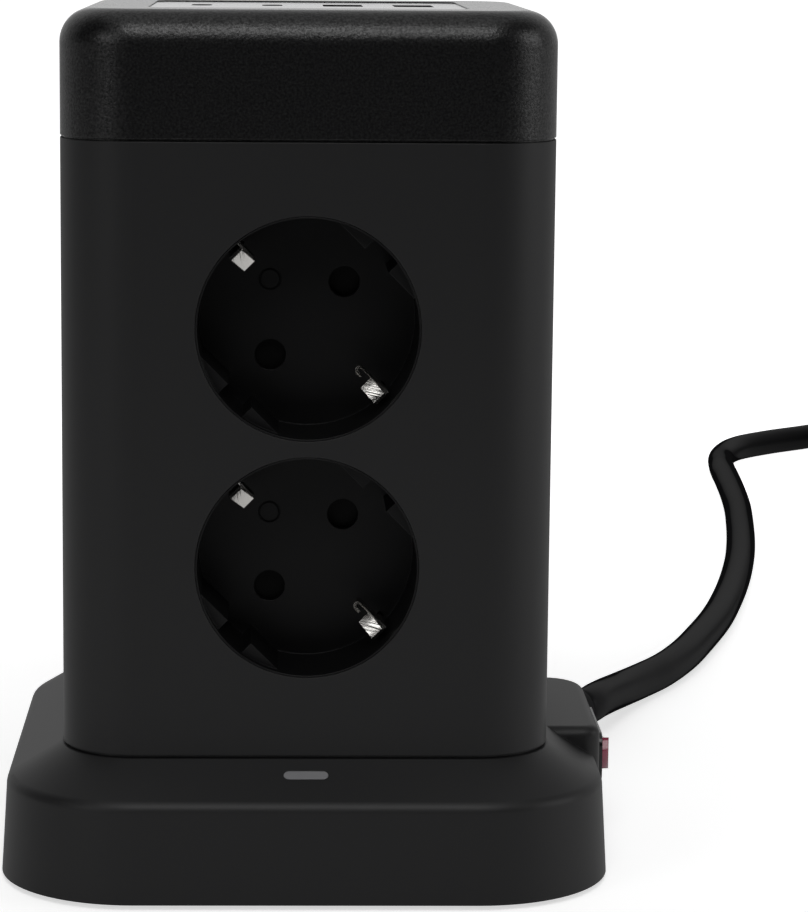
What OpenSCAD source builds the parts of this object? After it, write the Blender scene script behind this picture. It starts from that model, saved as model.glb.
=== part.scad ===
// Tower power strip: a square tower with two earthed sockets on each side, charging ports on top
// and a wide base that holds the mains switch, the surge parts and the lead.
// Millimetres. The strip stands on z = 0, its front faces -Y and its switch faces +X.

/* [Tower] */
// Width and depth of the square tower
tower_w = 89; // [86:0.5:94]
// Radius of the tower's upright corners
tower_r = 13.5; // [10:0.5:15]
// Height of the tower's body between the base and the cap
body_h = 111; // [108:1:120]
// Wall thickness of the moulded shells
shell_t = 2.2; // [1.8:0.1:2.6]
// Height of the cap
cap_h = 23; // [20:1:30]
// Radius of the cap's top edge
cap_edge_r = 6; // [3:0.5:8]
// Depth of the shadow lines at the cap and at the base
groove = 0.5; // [0.3:0.1:0.8]

/* [Sockets] */
// Diameter of a socket's recess
recess_d = 39.4; // [39:0.1:40]
// Depth of a socket's recess
recess_h = 17.5; // [17:0.1:18]
// Distance between the two pin holes
pin_pitch = 19; // [18.5:0.1:19.5]
// Diameter of a pin hole
pin_hole_d = 5.6; // [5.2:0.1:6]
// Height of the lower sockets over the tower's foot
socket_low = 35; // [33:0.5:38]
// Distance between the upper and lower sockets
socket_pitch = 43; // [43:0.5:46]
// Distance from a socket's axis to the flats that guide the plug
guide_flat = 17.1; // [16.5:0.1:17.5]
// Width of the slot through each guide flat
guide_slot = 5.9; // [5:0.1:7]
// Width of an earth contact
clip_w = 2.6; // [2.4:0.1:4]
// Thickness of the sheet metal of the contacts
sheet_t = 0.6; // [0.5:0.1:0.8]

/* [Charging ports] */
// Width of the panel that holds the ports
panel_w = 58; // [56:1:60]
// Depth of the panel, front to back
panel_d = 56; // [50:1:58]
// Distance between neighbouring ports
port_pitch = 13.2; // [12:0.1:14]
// Size of a small port's opening, across and front to back
port_c = [3.8, 10];
// Size of a large port's opening, across and front to back
port_a = [7.4, 14.4];

/* [Base] */
// Width and depth of the base
base_w = 112; // [110:1:118]
// Height of the base's upright wall over the table
rim_h = 18.8; // [18:0.2:20]
// Height of the base where the tower stands on it
base_h = 25; // [24.8:0.2:27]
// Radius of the edge between the wall and the sloping top
rim_r = 2.4; // [1:0.2:2.8]
// Lean of the upright wall: how far it comes in from the table to the rim
wall_lean = 1; // [0.4:0.1:1.4]
// Gap between the base and the table
foot_gap = 1; // [0.8:0.1:1.5]
// Width of the rubber pad that the base stands on
pad_w = 78; // [60:2:84]
// Length of the raised block round the switch
block_len = 43.2; // [40:0.4:46]
// Size of the front lamp's window, across and up the slope
lamp = [8, 2];

/* [Switch] */
// Length of the switch's frame
bezel_len = 24.6; // [24.2:0.2:26]
// Height of the switch's frame
bezel_h = 9.8; // [9.4:0.2:10.4]
// Length of the rocker from end to end at its pivot
rocker_len = 20.2; // [19.6:0.2:20.4]
// Height of the rocker
rocker_h = 6.2; // [5.6:0.2:7]
// Tilt of the rocker each way from level
rocker_tilt = 9; // [6:1:10]

/* [Lead] */
// Diameter of the lead
cord_d = 8; // [7:0.1:8.2]
// Number of turns in the lead's coil
coil_turns = 5.5; // [4.5:1:5.5]
// Length of the moulded boot where the lead leaves the base
boot_l = 20; // [20:1:24]

/* [Hidden] */
$fn = 64;
over = 1;
fit_gap = 0.1;
run_gap = 0.05;

tower_top = base_h + body_h;
total_h = tower_top + cap_h;
inner_w = tower_w - 2 * shell_t;
inner_r = tower_r - shell_t;
tongue_h = 3;
tongue_t = 1.6;
boss_r = 3.4;
boss_at = tower_w / 2 - tower_r + 6;
screw_r = 1.5;
screw_head_r = 2.8;
screw_head_h = 1.1;

floor_t = 1.5;
shutter_gap = 2.3;
cup_h = recess_h + floor_t + shutter_gap;
cup_t = 1.2;
cup_r = recess_d / 2 + cup_t;
cup_lip_r = recess_d / 2 + 0.3;
cup_flange_r = cup_r + 0.4;
cup_flange_t = 1.5;
guide_drop = 2;
pin_at = pin_pitch / 2;
line_angle = 45;
pivot_r = 1.6;
lobe_r = pin_hole_d / 2 + 1.6;
shutter_t = 1.5;
hub_r = 3.6;
mark_r = 2;
mark_w = 0.3;
mark_at = [-6.8, 7.2];

clip_at = recess_d / 2 - 1.4;
clip_top = 4.6;
clip_in = 3.2;
clip_slot_gap = 0.25;
hook_t = 0.5;
hook_r = 0.9;
hook_len = [4, 6.2];
hook_out = [1.1, 0.2];
hook_deep = 3.6;
rail_w = 3;
rail_t = 0.8;
rail_at = clip_at * cos(45) + rail_w / 2 - 0.6;

core_w = tower_w - 2 * cup_h;
core_t = 2;
core_h = body_h - 3;
contact_r = 3;
contact_wall = 0.7;
contact_l = 10.5;
plate_w = 24;
riser_w = 6;

ledge = 0.3;
slope_run = (base_w - tower_w) / 2 - ledge - wall_lean;
slope_angle = atan((base_h - rim_h) / slope_run);
base_r = tower_r + (base_w - tower_w) / 2;
top_r = base_r - wall_lean;
cap_top_t = 3.6;
post_r = 3.5;
post_at = [base_w / 2 - 10, 24];
plate_t = 2;
plate_z = foot_gap;
plate_top = plate_z + plate_t;
pad_r = 12;
pad_sink = 0.6;
wire_hole = 30;

block_face = base_w / 2;
block_front = 19;
block_top = base_h - 0.6;
block_r = 3;
block_back_r = 8;
block_edge = 1.8;
block_deep = 24;

switch_y = 1.5;
switch_z = 16;
bezel_out = 1.2;
bezel_r = 2.4;
bezel_wall = 0.9;
pivot_deep = 4.5;
rocker_end_out = 2;
rocker_dip = 1;
rocker_r = rocker_len / 2;
rocker_low = [3.6, 4.6];
rocker_skirt = 1.6;
rocker_round = 2.6;
rocker_gap = 0.25;
trunnion_r = 1;
switch_wall = 1.4;
switch_deep = 10;
seat_gap = 0.3;
tab_w = 6.3;
tab_l = 8;
tab_t = 0.8;

panel_r = 3;
panel_t = 1.8;
panel_sink = 0.2;
panel_ledge = 2;
port_l = 13;
port_gap = 0.35;
port_wall = 0.3;
port_top_gap = 0.4;
tongue_c = [0.7, 6.7];
tongue_a = [1.8, 11];
port_x = [-1.5, -0.5, 0.5, 1.5];
board = [70, 60, 1.6];
board_hole = [31, 25];
standoff_r = 2.4;

lamp_at_share = 0.34;
lamp_flange = 0.8;

varistor_r = 7;
varistor_t = 4.5;
surge = [44, 34, 1.6];
surge_at = [-20, 16];
peg_r = 2;
peg_h = 4;
led_r = 1.5;

exit_angle = 50;
exit_z = 7.5;
boot_r = 5.2;
boot_end_r = cord_d / 2 + 0.4;
boot_wall = 1;
rib_deep = 0.2;
boot_flange_t = 2;
boot_flange_in = 1;
boot_ribs = 4;
lead_in = 18;
clamp = [8, 24, 4];

sides_run = 12;
sides_coil = 6;
per_turn = 24;
coil_step = 0.6;
coil_inner = 4.1 * cord_d;
coil_centre = [240, 440];
coil_start = 110;
coil_z = cord_d / 2 + 0.9;
tie_t = 0.6;
tie_gap = 0.25;
tie_w = 6;
tie_angle = 200;

// The lead from its boot to its coil, and from its coil to its plug.
run_route = [
    [64, 72.2, 7.4], [66.8, 79.6, 6.7], [71.4, 91.6, 5.3], [77.4, 104, 4.4], [83.6, 115.4, 4.1],
    [90, 129.6, 4.1], [97.6, 151.4, 4.1], [104.8, 175, 4.1], [111, 200, 4.1], [116.6, 226, 4.1],
    [121.4, 252, 4.1], [125.4, 278, 4.1], [128.8, 304, 4.1], [131.8, 330, 4.1], [134, 356, 4.1],
    [135.6, 380, 4.1], [137, 402, 4.1], [139.8, 422, 4.1], [147, 439.6, 4.1], [159, 452.6, 4.1],
    [173.4, 464.4, 4.1], [187.6, 476, 4.3], [197.6, 483.2, 4.6]
];
tail_route = [
    [240, 379.5, 13.7], [228, 371, 14.6], [219, 359.5, 16.2], [214, 346, 17.8]
];
plug_angle = 255;
plug_r = 19.2;
plug_l = 28;
plug_nose_l = 12;
plug_neck = [7, 5, 22];
plug_z = 19.3;
plug_at = [211, 334];
plug_pin_r = 2.4;
plug_pin_l = 19;
plug_earth_w = 4.6;
plug_key = 1.6;

// ---- shared shapes

// A rectangle with round corners, centred.
module rounded_rect(w, d, r) {
    square([w - 2 * r, d], center = true);
    square([w, d - 2 * r], center = true);
    for (x = [-1, 1], y = [-1, 1])
        translate([x * (w / 2 - r), y * (d / 2 - r)]) circle(r = r);
}

module slab(w, d, r, z, h) {
    translate([0, 0, z]) linear_extrude(h) rounded_rect(w, d, r);
}

// A solid with round upright corners whose edge follows the profile drawn by the children,
// with x from a corner's axis outwards and y up. Its middle is filled from low to high.
module edge_sweep(w, d, r, low, high) {
    cx = w / 2 - r;
    cy = d / 2 - r;
    for (k = [0:3])
        translate([k == 0 || k == 3 ? cx : -cx, k < 2 ? cy : -cy, 0])
            rotate([0, 0, 90 * k]) rotate_extrude(angle = 90) children();
    for (s = [0, 180]) {
        rotate([0, 0, s]) translate([cx, cy, 0]) rotate([90, 0, 0]) linear_extrude(2 * cy) children();
        rotate([0, 0, s + 90]) translate([cy, cx, 0]) rotate([90, 0, 0]) linear_extrude(2 * cx) children();
    }
    translate([-cx, -cy, low]) cube([2 * cx, 2 * cy, high - low]);
}

module four_corners(at_x, at_y) {
    for (x = [-1, 1], y = [-1, 1]) translate([x * at_x, y * at_y, 0]) children();
}

// Children are drawn on a socket's axis, with z pointing out of the tower's side.
module at_socket(i) {
    side = floor((i - 1) / 2);
    level = (i - 1) % 2;
    rotate([0, 0, 90 * side])
        translate([0, -tower_w / 2, base_h + socket_low + level * socket_pitch])
            rotate([90, 0, 0]) children();
}

// Children are drawn on the switch's axis, with x pointing out of the base.
module at_switch(x) {
    translate([block_face + x, switch_y, switch_z]) children();
}

// A prism along x from a rounded rectangle in the plane of the wall.
module wall_prism(len, height, r, x, h) {
    translate([x, 0, 0]) rotate([90, 0, 90]) linear_extrude(h) rounded_rect(len, height, r);
}

// ---- lead: a tube swept along points

function unit(v) = v / norm(v);
function heading(p, i) =
    let (n = len(p) - 1)
    unit(p[min(i + 1, n)] - p[max(i - 1, 0)]);
function ring(c, t, r, sides) =
    let (s = unit(cross(t, [0, 0, 1])), u = cross(s, t))
    [for (k = [0:sides - 1]) let (a = 360 * k / sides - 90) c + r * (cos(a) * s + sin(a) * u)];

module tube(p, r, sides) {
    n = len(p);
    points = [for (i = [0:n - 1]) each ring(p[i], heading(p, i), r, sides)];
    walls = [for (i = [0:n - 2], k = [0:sides - 1])
        let (a = i * sides + k, b = i * sides + (k + 1) % sides)
        each [[a, b, b + sides], [a, b + sides, a + sides]]];
    start = [for (k = [1:sides - 2]) [0, k + 1, k]];
    last = (n - 1) * sides;
    end = [for (k = [1:sides - 2]) [last, last + k, last + k + 1]];
    polyhedron(points = points, faces = concat(start, walls, end));
}

exit_dir = [cos(exit_angle), sin(exit_angle), 0];
exit_r = base_r - wall_lean * exit_z / rim_h;
exit_wall = [(base_w / 2 - base_r) + exit_r * cos(exit_angle),
             (base_w / 2 - base_r) + exit_r * sin(exit_angle), exit_z];
boot_end = exit_wall + boot_l * exit_dir;

// The coil winds in on the table in half its turns, climbs and winds out on top.
half_turns = coil_turns / 2;
coil_pitch = cord_d + coil_step;
function ease(x) = let (c = max(0, min(1, x))) c * c * (3 - 2 * c);
function coil_radius(t) = coil_inner + coil_pitch * abs(t - half_turns);
function coil_point(t) =
    let (a = coil_start - 360 * t, r = coil_radius(t))
    [coil_centre[0] + r * cos(a), coil_centre[1] + r * sin(a),
     coil_z + coil_pitch * ease((t - half_turns) * 2 + 0.5)];
coil_count = per_turn * coil_turns;
coil_turn_points = [for (k = [0:coil_count]) coil_point(k / per_turn)];
coil_in_dir = unit(coil_point(0.02) - coil_point(0));
coil_out_dir = unit(coil_point(coil_turns) - coil_point(coil_turns - 0.02));
coil_points = concat(
    [coil_turn_points[0] - cord_d * coil_in_dir],
    coil_turn_points,
    [coil_turn_points[coil_count] + cord_d * coil_out_dir]
);
coil_gap = min([for (i = [0:coil_count], j = [0:coil_count])
    if (j > i + per_turn / 2) norm(coil_turn_points[i] - coil_turn_points[j])]) - cord_d;
echo("least gap between the coil's turns", coil_gap);

plug_dir = [cos(plug_angle), sin(plug_angle), 0];
plug_base = [plug_at[0], plug_at[1], plug_z];

// ---- base

// The base's edge in profile, with x from a corner's axis and y up.
module base_edge() {
    foot = tower_r + ledge;
    round_z = rim_h - rim_r * tan((90 - slope_angle) / 2);
    polygon([
        [0, foot_gap], [base_r, foot_gap], [top_r, round_z], [top_r - rim_r, round_z],
        [top_r - rim_r * (1 - sin(slope_angle)), round_z + rim_r * cos(slope_angle)],
        [foot, base_h], [0, base_h]
    ]);
    translate([top_r - rim_r, round_z]) circle(r = rim_r);
}

module base_outer() {
    edge_sweep(base_w, base_w, base_r, foot_gap, base_h) base_edge();
}

module base_inner() {
    thick = shell_t / cos(slope_angle);
    side = base_r - shell_t;
    rim = top_r - shell_t;
    top = base_h - shell_t;
    edge_sweep(base_w, base_w, base_r, 0, top)
        polygon([
            [0, 0], [side, 0], [side, plate_top], [rim, rim_h + shell_t * tan(slope_angle) - thick],
            [top_r - (top - rim_h + thick) / tan(slope_angle), top], [0, top]
        ]);
}

module edge_profile(r, top, edge) {
    square([r, top - edge]);
    square([r - edge, top]);
    intersection() {
        translate([r - edge, top - edge]) circle(r = edge);
        square([r, top]);
    }
}

// The raised block that carries the switch: small corners in front, large ones behind.
module switch_block() {
    x = block_face - block_deep / 2;
    z = block_top - foot_gap - over;
    translate([x, block_len * 0.33 - block_front, foot_gap + over])
        edge_sweep(block_deep, block_len * 0.66, block_r, 0, z) edge_profile(block_r, z, block_edge);
    translate([x, block_len * 0.56 - block_front, foot_gap + over])
        edge_sweep(block_deep, block_len * 0.88, block_back_r, 0, z)
            edge_profile(block_back_r, z, block_edge);
}

module switch_block_inner() {
    x = block_face - block_deep / 2;
    translate([x, block_len * 0.33 - block_front, 0])
        slab(block_deep - 2 * shell_t, block_len * 0.66 - 2 * shell_t, block_r - shell_t, 0, block_top - shell_t);
    translate([x, block_len * 0.56 - block_front, 0])
        slab(block_deep - 2 * shell_t, block_len * 0.88 - 2 * shell_t, block_back_r - shell_t, 0,
             block_top - shell_t);
}

module base_shell() {
    color("#1c1c1d")
        difference() {
            union() {
                base_outer();
                switch_block();
                slab(inner_w - 2 * fit_gap, inner_w - 2 * fit_gap, inner_r - fit_gap,
                     base_h - over, over + tongue_h);
            }
            difference() {
                union() {
                    base_inner();
                    switch_block_inner();
                }
                four_corners(post_at[0], post_at[1])
                    translate([0, 0, plate_top]) cylinder(r = post_r, h = base_h);
            }
            slab(inner_w - 2 * tongue_t, inner_w - 2 * tongue_t, inner_r - tongue_t, base_h, over + tongue_h);
            translate([0, 0, base_h - shell_t - over]) linear_extrude(shell_t + 2 * over)
                rounded_rect(wire_hole, wire_hole, block_r);
            four_corners(post_at[0], post_at[1])
                translate([0, 0, foot_gap]) cylinder(r = screw_r + run_gap, h = base_h / 2);
            four_corners(boss_at, boss_at)
                translate([0, 0, base_h - shell_t - over]) cylinder(r = screw_r + fit_gap, h = 3 * shell_t);
            at_switch(0)
                wall_prism(bezel_len - 2 * bezel_wall, bezel_h - 2 * bezel_wall, bezel_r - bezel_wall,
                           -shell_t - over, shell_t + 2 * over);
            on_slope() lamp_cut();
            at_exit() translate([0, 0, -2 * shell_t]) cylinder(r = boot_r - boot_wall, h = 4 * shell_t);
        }
}

module base_plate() {
    w = base_w - 2 * shell_t - 2 * fit_gap;
    color("#202021")
        difference() {
            union() {
                slab(w, w, base_r - shell_t - fit_gap, plate_z, plate_t);
                surge_pegs() translate([0, 0, plate_z]) cylinder(r = peg_r, h = plate_t + peg_h);
                led_pegs() translate([0, 0, plate_z]) cylinder(r = peg_r, h = led_z() - plate_z);
                clamp_pegs() translate([0, 0, plate_z]) cylinder(r = peg_r, h = clamp_z() - plate_z);
            }
            slab(pad_w + 2 * run_gap, pad_w + 2 * run_gap, pad_r + run_gap, plate_z - over, pad_sink + over);
            translate(exit_wall)
                rotate([0, 0, exit_angle])
                    translate([-shell_t - boot_flange_in - boot_flange_t - fit_gap, -boot_r - 2 * fit_gap, -exit_z])
                        cube([base_r, 2 * boot_r + 4 * fit_gap, plate_top + over]);
            four_corners(post_at[0], post_at[1]) {
                translate([0, 0, plate_z - over]) cylinder(r = screw_r + fit_gap, h = plate_t + 2 * over);
                translate([0, 0, plate_z - over]) cylinder(r = screw_head_r + fit_gap, h = screw_head_h + over);
            }
        }
}

module grip_pad() {
    color("#2a2a2a") slab(pad_w, pad_w, pad_r, 0, foot_gap + pad_sink);
}

module base_screws() {
    color("#9a9a9c")
        four_corners(post_at[0], post_at[1])
            translate([0, 0, plate_z + screw_head_h]) screw(base_h / 2 - screw_head_h - over);
}

// A pan head screw that points up, its head's seat on z = 0.
module screw(l) {
    difference() {
        union() {
            translate([0, 0, -screw_head_h]) cylinder(r = screw_head_r, h = screw_head_h);
            translate([0, 0, -screw_head_h / 2]) cylinder(r = screw_r, h = l + screw_head_h / 2);
        }
        for (a = [0, 90])
            rotate([0, 0, a])
                translate([0, 0, -screw_head_h])
                    cube([screw_r * 2, screw_r / 3, screw_head_h], center = true);
    }
}

// ---- front lamp

// Children are drawn on the front slope, with z along its normal and y up the slope.
module on_slope() {
    mid = [tower_w / 2 + ledge + slope_run * lamp_at_share,
           base_h - (base_h - rim_h) * lamp_at_share];
    translate([0, -mid[0], mid[1]]) rotate([slope_angle, 0, 0]) children();
}

module lamp_cut() {
    translate([0, 0, -2 * shell_t])
        linear_extrude(4 * shell_t)
            rounded_rect(lamp[0] + 2 * run_gap, lamp[1] + 2 * run_gap, lamp[1] * 0.499 + run_gap);
}

module led_window() {
    color("#5a5a5c")
        on_slope()
            translate([0, 0, -shell_t - lamp_flange - 0.1 * shell_t])
                linear_extrude(shell_t * 1.1 + lamp_flange)
                    rounded_rect(lamp[0], lamp[1], lamp[1] * 0.499);
}

function led_z() = base_h / 2 - shell_t / 2;
function led_y() = -(tower_w / 2 + shell_t / 2);
module led_pegs() {
    for (x = [-1, 1]) translate([x * lamp[0] / 2, led_y(), 0]) children();
}

module led_board() {
    color("#1f5a34")
        translate([0, led_y(), led_z()]) {
            translate([-lamp[0], -shell_t, 0]) cube([2 * lamp[0], 3 * shell_t, shell_t / 2]);
            translate([0, -shell_t / 2, shell_t / 2]) cylinder(r = led_r, h = led_r);
            translate([0, -shell_t / 2, shell_t / 2 + led_r]) sphere(r = led_r);
        }
}

// ---- switch

module switch_bezel() {
    color("#161616")
        at_switch(0)
            difference() {
                union() {
                    wall_prism(bezel_len, bezel_h, bezel_r, 0, bezel_out);
                    wall_prism(bezel_len - 2 * bezel_wall - 2 * fit_gap, bezel_h - 2 * bezel_wall - 2 * fit_gap,
                               bezel_r - bezel_wall, -shell_t - seat_gap, shell_t + seat_gap + bezel_out / 2);
                }
                wall_prism(rocker_len + 2 * rocker_gap, rocker_h + 2 * rocker_gap, rocker_round / 2,
                           -shell_t - over, shell_t + bezel_out + 2 * over);
            }
}

module switch_body() {
    outer = [switch_deep, rocker_len + 2 * rocker_gap + 2 * switch_wall,
             rocker_h + 2 * rocker_gap + 2 * switch_wall];
    color("#242424")
        at_switch(-shell_t - seat_gap - switch_deep)
            difference() {
                translate([0, -outer[1] / 2, -outer[2] / 2]) cube(outer);
                translate([switch_wall, -rocker_len / 2 - rocker_gap, -rocker_h / 2 - rocker_gap])
                    cube([switch_deep, rocker_len + 2 * rocker_gap, rocker_h + 2 * rocker_gap]);
                translate([switch_deep + shell_t + seat_gap - pivot_deep, 0, -outer[2]])
                    cylinder(r = trunnion_r + run_gap, h = 2 * outer[2]);
            }
}

module switch_tabs() {
    color("#c9a24b")
        at_switch(-shell_t - seat_gap - switch_deep)
            for (k = [-1:1])
                translate([-tab_l, k * tab_w * 1.1 - tab_t / 2, -tab_w / 2]) cube([tab_l, tab_t, tab_w]);
}

// The rocker's outline in plan, level, with its pivot at the origin.
module rocker_plan() {
    face_x = pivot_deep + rocker_end_out;
    intersection() {
        circle(r = rocker_r);
        polygon([
            [-rocker_skirt, -rocker_r], [face_x, -rocker_r], [face_x - rocker_dip, 0], [face_x, rocker_r],
            [-rocker_skirt, rocker_r], [-rocker_skirt, rocker_low[1]], [-rocker_low[0], rocker_low[1]],
            [-rocker_low[0], -rocker_low[1]], [-rocker_skirt, -rocker_low[1]]
        ]);
    }
}

module rocker() {
    color("#b0102c")
        at_switch(-pivot_deep)
            rotate([0, 0, rocker_tilt]) {
                intersection() {
                    translate([0, 0, -rocker_h / 2]) linear_extrude(rocker_h) rocker_plan();
                    wall_prism(rocker_len, rocker_h, rocker_round, -rocker_len, 2 * rocker_len);
                }
                translate([0, 0, -rocker_h / 2 - rocker_gap - switch_wall])
                    cylinder(r = trunnion_r, h = rocker_h + 2 * rocker_gap + 2 * switch_wall);
            }
}

// ---- tower

module body_shell() {
    color("#202021")
        difference() {
            union() {
                difference() {
                    union() {
                        slab(tower_w, tower_w, tower_r, base_h + groove, body_h - groove);
                        slab(tower_w - 2 * groove, tower_w - 2 * groove, tower_r - groove, base_h, groove + over);
                    }
                    slab(inner_w, inner_w, inner_r, base_h - over, body_h + 2 * over);
                }
                intersection() {
                    slab(tower_w - shell_t, tower_w - shell_t, tower_r - shell_t / 2,
                         base_h + tongue_h + fit_gap, body_h - tongue_h - fit_gap);
                    four_corners(boss_at, boss_at)
                        translate([0, 0, base_h]) cylinder(r = boss_r, h = body_h + tongue_h);
                }
                difference() {
                    slab(inner_w - 2 * fit_gap, inner_w - 2 * fit_gap, inner_r - fit_gap,
                         tower_top - 2 * tongue_h, 3 * tongue_h);
                    slab(inner_w - 2 * tongue_t, inner_w - 2 * tongue_t, inner_r - tongue_t,
                         tower_top - 2 * tongue_h - over, 3 * tongue_h + 2 * over);
                }
                difference() {
                    slab(inner_w + shell_t, inner_w + shell_t, inner_r + shell_t / 2,
                         tower_top - 2 * tongue_h, tongue_h);
                    slab(inner_w - 2 * tongue_t, inner_w - 2 * tongue_t, inner_r - tongue_t,
                         tower_top - 2 * tongue_h - over, tongue_h + 2 * over);
                }
            }
            for (i = [1:8])
                at_socket(i) translate([0, 0, -shell_t - over]) cylinder(r = cup_lip_r + fit_gap, h = shell_t + 2 * over);
            for (i = [1:8])
                at_socket(i) translate([0, 0, -cup_h]) cylinder(r = cup_flange_r + fit_gap, h = cup_h - shell_t);
            four_corners(boss_at, boss_at)
                translate([0, 0, base_h]) cylinder(r = screw_r + run_gap, h = body_h / 4);
        }
}

module tower_screws() {
    color("#9a9a9c")
        four_corners(boss_at, boss_at)
            translate([0, 0, base_h - shell_t]) screw(body_h / 5);
}

// The square pillar that backs the sockets and holds the three rails.
module core_frame() {
    color("#e6e3da")
        difference() {
            slab(core_w, core_w, core_t, base_h, core_h);
            slab(core_w - 2 * core_t, core_w - 2 * core_t, core_t / 2, base_h - over, core_h + over - core_t);
            for (side = [0:3])
                rotate([0, 0, 90 * side])
                    for (s = [-1, 1])
                        translate([s * rail_at - rail_w / 2 - fit_gap, -core_w / 2 - over, base_h - over])
                            cube([rail_w + 2 * fit_gap, rail_t + over, core_h + 2 * over]);
            for (i = [1:8])
                at_socket(i)
                    pin_places() translate([0, 0, -cup_h - core_t - over]) cylinder(r = contact_r, h = core_t + 2 * over);
        }
}

// ---- sockets

module pin_places() {
    for (s = [-1, 1]) rotate([0, 0, line_angle]) translate([s * pin_at, 0, 0]) children();
}

// The two flats that guide the plug, each cut by a slot.
module guide_outline() {
    for (s = [0, 180])
        rotate(line_angle + s)
            difference() {
                intersection() {
                    circle(r = recess_d / 2 + cup_t / 2);
                    translate([guide_flat, -recess_d / 2]) square([recess_d, recess_d]);
                }
                translate([0, -guide_slot / 2]) square([recess_d, guide_slot]);
            }
}

module socket_cup(i) {
    color("#161617")
        at_socket(i)
            difference() {
                union() {
                    translate([0, 0, -cup_h]) cylinder(r = cup_r, h = cup_h - shell_t);
                    translate([0, 0, -shell_t - cup_flange_t]) cylinder(r = cup_flange_r, h = cup_flange_t);
                    translate([0, 0, -shell_t - over / 2]) cylinder(r = cup_lip_r, h = shell_t + over / 2);
                }
                difference() {
                    translate([0, 0, -recess_h]) cylinder(r = recess_d / 2, h = recess_h + over);
                    translate([0, 0, -recess_h - over / 2])
                        linear_extrude(recess_h + over / 2 - guide_drop) guide_outline();
                }
                difference() {
                    translate([0, 0, -cup_h - over]) cylinder(r = recess_d / 2, h = shutter_gap + over);
                    translate([0, 0, -cup_h]) cylinder(r = pivot_r, h = shutter_gap + over);
                }
                pin_places() translate([0, 0, -cup_h]) cylinder(r = pin_hole_d / 2, h = cup_h - recess_h + over);
                for (s = [0, 1])
                    rotate([0, 0, 90 + line_angle + 180 * s])
                        translate([clip_at - sheet_t / 2 - clip_slot_gap, -clip_w / 2 - clip_slot_gap, -cup_h])
                            cube([sheet_t + 2 * clip_slot_gap, clip_w + 2 * clip_slot_gap, cup_h - recess_h + over]);
                translate([mark_at[0], mark_at[1], -recess_h - mark_w])
                    difference() {
                        cylinder(r = mark_r, h = over);
                        translate([0, 0, -over]) cylinder(r = mark_r - mark_w, h = 3 * over);
                    }
            }
}

// One earth contact in profile: distance from the axis, and height from the tower's side.
module clip_profile() {
    tip = clip_at - clip_in;
    low = clip_top + clip_in;
    back = low + 1.3 * clip_in;
    t = sheet_t / 2;
    polygon([
        [clip_at + t, -cup_h], [clip_at + t, -clip_top + t], [clip_at - t, -clip_top + 2 * t],
        [tip - t, -low + t], [tip - t, -low - t], [tip + 0.4 * clip_in - t, -back], [tip + 0.4 * clip_in + t, -back],
        [tip + 2 * t, -low], [clip_at - t, -clip_top - t], [clip_at - t, -cup_h]
    ]);
}

// The thin side leg of an earth contact, seen from the front, with its round hook.
module clip_hook(s) {
    far = clip_at + hook_out[s];
    near = far - hook_len[s];
    side = clip_w / 2 + sheet_t;
    translate([near, side - hook_t]) square([hook_len[s], hook_t]);
    translate([clip_at - sheet_t / 2, 0]) square([sheet_t, side]);
    if (s == 1) {
        translate([near, side - hook_r])
            difference() {
                circle(r = hook_r);
                circle(r = hook_r - hook_t);
                translate([0, -2 * hook_r]) square([2 * hook_r, 4 * hook_r]);
            }
        translate([near, side - 2 * hook_r]) square([hook_r, hook_t]);
    }
}

module earth_clip(i) {
    color("#c9cbce")
        at_socket(i)
            for (s = [0, 1])
                rotate([0, 0, 90 + line_angle + 180 * s])
                    mirror([0, s == 0 ? 1 : 0, 0]) {
                        rotate([90, 0, 0])
                            translate([0, 0, -clip_w / 2]) linear_extrude(clip_w) clip_profile();
                        translate([0, 0, -clip_top - hook_deep - sheet_t]) linear_extrude(hook_deep) clip_hook(s);
                    }
}

// The sprung disc behind a socket's floor that closes both pin holes.
module shutter(i) {
    color("#3a3a3c")
        at_socket(i)
            translate([0, 0, -cup_h + (shutter_gap - shutter_t) / 2])
                difference() {
                    union() {
                        cylinder(r = hub_r, h = shutter_t);
                        rotate([0, 0, line_angle])
                            translate([-pin_at, -lobe_r * 0.7, 0]) cube([2 * pin_at, lobe_r * 1.4, shutter_t]);
                        pin_places() cylinder(r = lobe_r, h = shutter_t);
                    }
                    translate([0, 0, -over]) cylinder(r = pivot_r + run_gap, h = shutter_t + 2 * over);
                    for (s = [0, 180])
                        rotate([0, 0, line_angle + s])
                            translate([pin_at, 0, shutter_t])
                                rotate([14, 0, 0])
                                    translate([-lobe_r, 0, 0]) cube([2 * lobe_r, 2 * lobe_r, shutter_t]);
                }
}

// ---- rails inside the core

// A split sleeve that grips one pin.
module sleeve() {
    difference() {
        cylinder(r = contact_r - fit_gap, h = contact_l);
        translate([0, 0, -over]) cylinder(r = contact_r - fit_gap - contact_wall, h = contact_l + 2 * over);
        translate([-contact_r, -contact_wall / 2, contact_l / 3]) cube([2 * contact_r, contact_wall, contact_l]);
    }
}

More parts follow.
